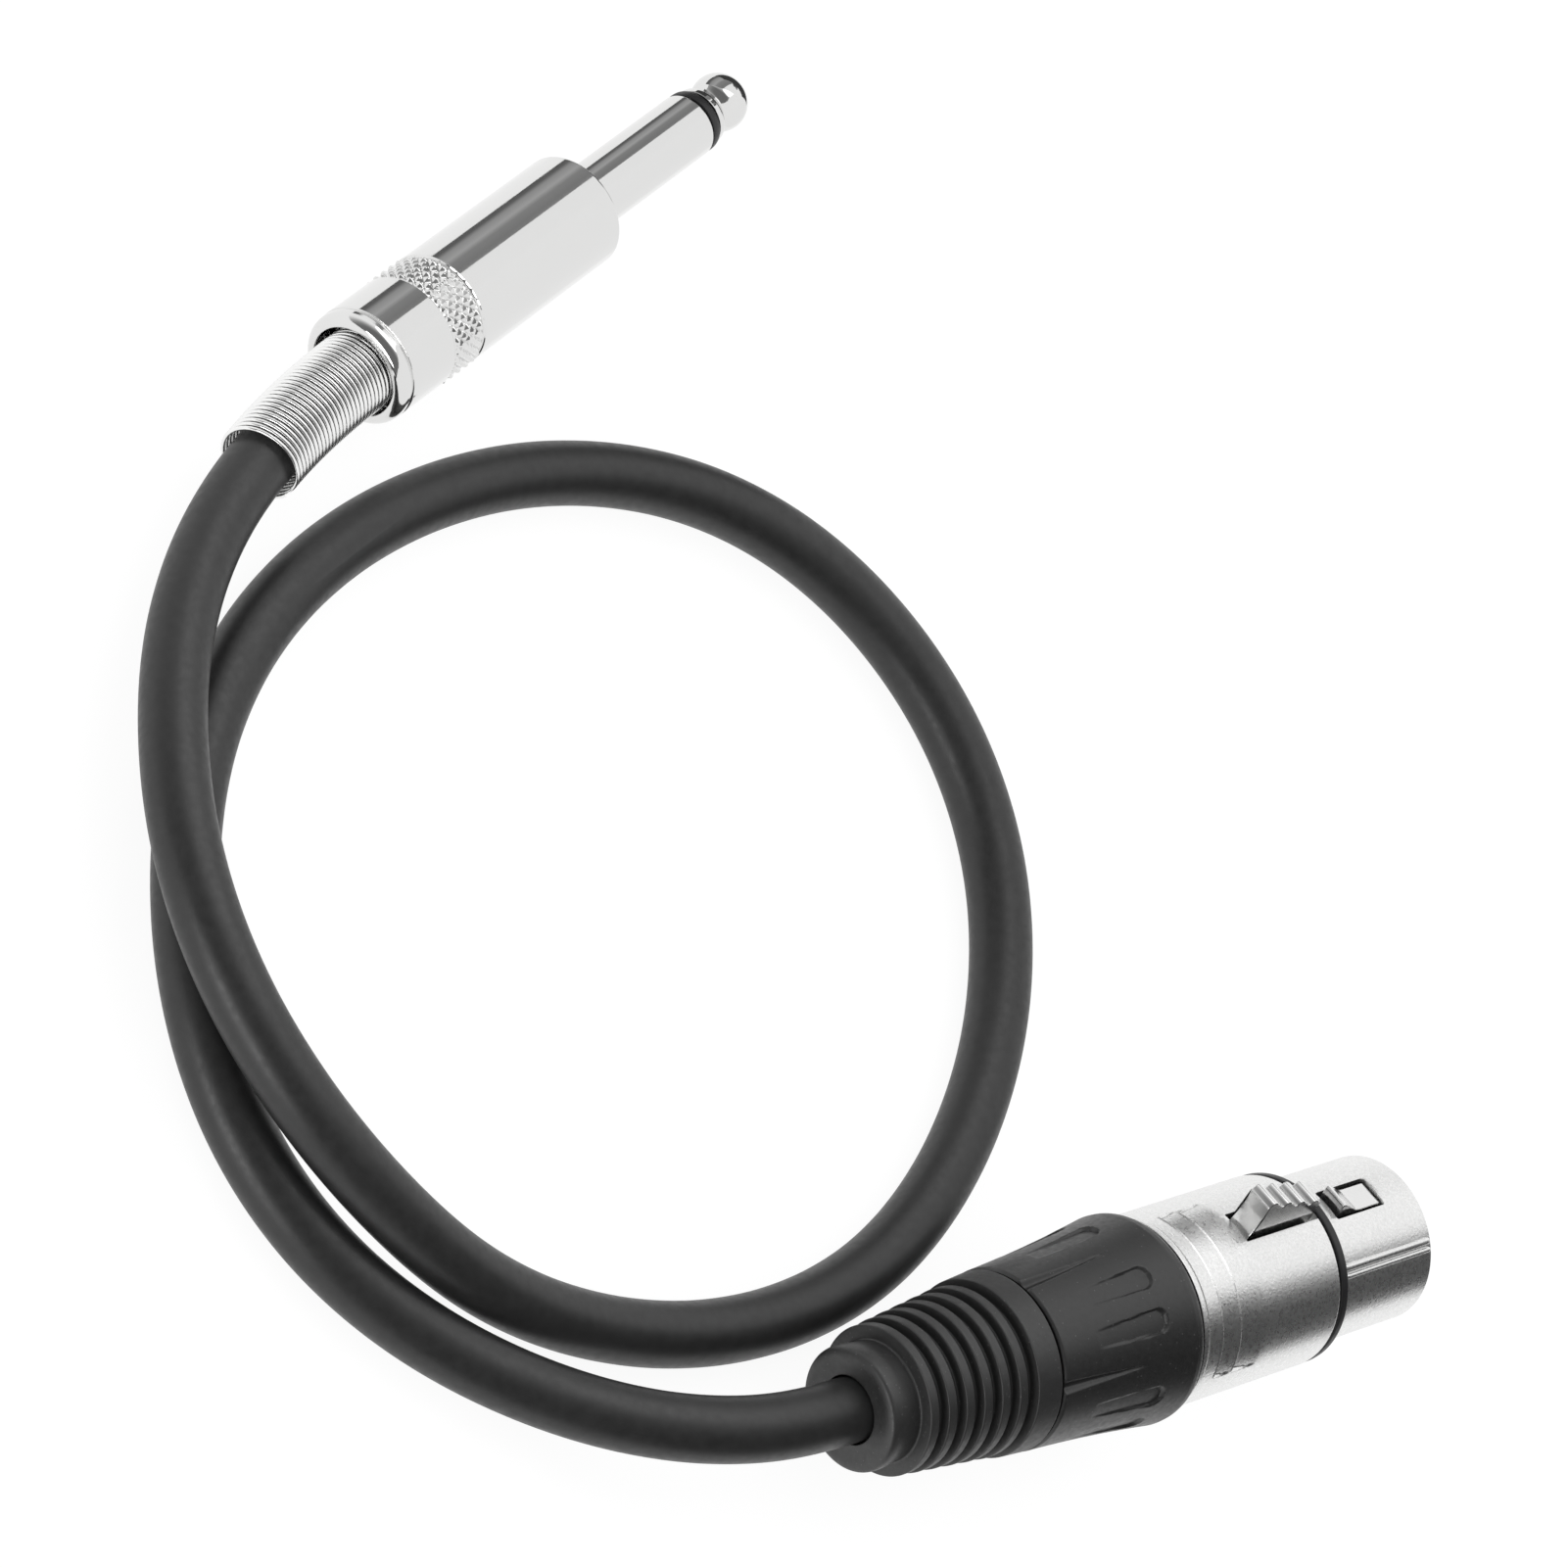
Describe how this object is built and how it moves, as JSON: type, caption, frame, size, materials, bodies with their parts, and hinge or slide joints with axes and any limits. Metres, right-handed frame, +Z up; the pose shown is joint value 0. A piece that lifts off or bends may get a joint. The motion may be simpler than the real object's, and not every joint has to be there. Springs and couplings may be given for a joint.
{
  "type": "xlr cable coil",
  "caption": "Short black audio cable in a loose loop, with a slim nickel jack plug and spring strain relief on one end and a latching XLR socket connector with a ribbed boot on the other.",
  "frame": {"origin": "On the surface that the cable lies on, under the middle of the box round its two connectors, the cable between them left out.", "axes": "+Z is up from the surface. +Y is the way the XLR connector's mating end points. +X runs from the jack plug's side to the XLR connector's side."},
  "size_m": [0.1336, 0.1223, 0.0221],
  "materials": {
    "satin_nickel": "satin",
    "bright_nickel": "polished",
    "spring_steel": "polished",
    "contact_brass": "satin",
    "tinned_steel": "satin",
    "copper": "satin",
    "jacket": "matte",
    "boot_rubber": "matte",
    "nut_plastic": "satin",
    "black_plastic": "satin",
    "liner_plastic": "matte",
    "red_insulation": "satin",
    "white_insulation": "satin"
  },
  "bodies": {
    "cable": {"cable_jacket": "jacket", "xlr_shell": "satin_nickel", "xlr_ring": "black_plastic", "xlr_insert": "black_plastic", "xlr_contact_1": "contact_brass", "xlr_contact_2": "contact_brass", "xlr_contact_3": "contact_brass", "xlr_latch_spring": "spring_steel", "xlr_collet": "black_plastic", "xlr_wire_shield": "copper", "xlr_wire_hot": "red_insulation", "xlr_wire_cold": "white_insulation", "jack_tip": "bright_nickel", "jack_insulator": "black_plastic", "jack_sleeve": "bright_nickel", "jack_ground_clamp": "tinned_steel", "jack_tip_lug": "tinned_steel", "jack_fibre_washer": "liner_plastic", "jack_wire_tip": "red_insulation", "jack_wire_ground": "copper", "jack_spring": "spring_steel"},
    "latch": {"xlr_latch": "bright_nickel"},
    "boot": {"xlr_boot": "boot_rubber"},
    "nut": {"xlr_nut": "nut_plastic"},
    "liner": {"jack_liner": "liner_plastic"},
    "handle": {"jack_handle": "bright_nickel"}
  },
  "joints": [
    {"name": "latch_press", "type": "hinge", "parent": "cable", "child": "latch", "pos_m": [0.05379, 0.04366, 0.01528], "axis": [0.866, 0, 0.5], "range_deg": [0, 11], "stiffness_Nm_per_rad": 0.15, "springref_deg": -5.73, "deforming": ["xlr_latch_spring"]},
    {"name": "boot_slide", "type": "slide", "parent": "cable", "child": "boot", "axis": [0, -1, 0], "range_m": [0, 0.003]},
    {"name": "nut_turn", "type": "hinge", "parent": "boot", "child": "nut", "pos_m": [0.05684, 0.00856, 0.01], "axis": [0, -1, 0], "range_deg": [0, 1081]},
    {"name": "handle_slide", "type": "slide", "parent": "cable", "child": "liner", "axis": [0.342, -0.9397, 0], "range_m": [0, 0.003]},
    {"name": "handle_turn", "type": "hinge", "parent": "liner", "child": "handle", "pos_m": [-0.05073, -0.01623, 0.0057], "axis": [0.342, -0.9397, 0], "range_deg": [0, 1081]}
  ],
  "couplings": [
    {"joint": "nut_turn", "follows": "boot_slide", "rad_per_m": 6283.2},
    {"joint": "handle_turn", "follows": "handle_slide", "rad_per_m": 6283.2}
  ]
}
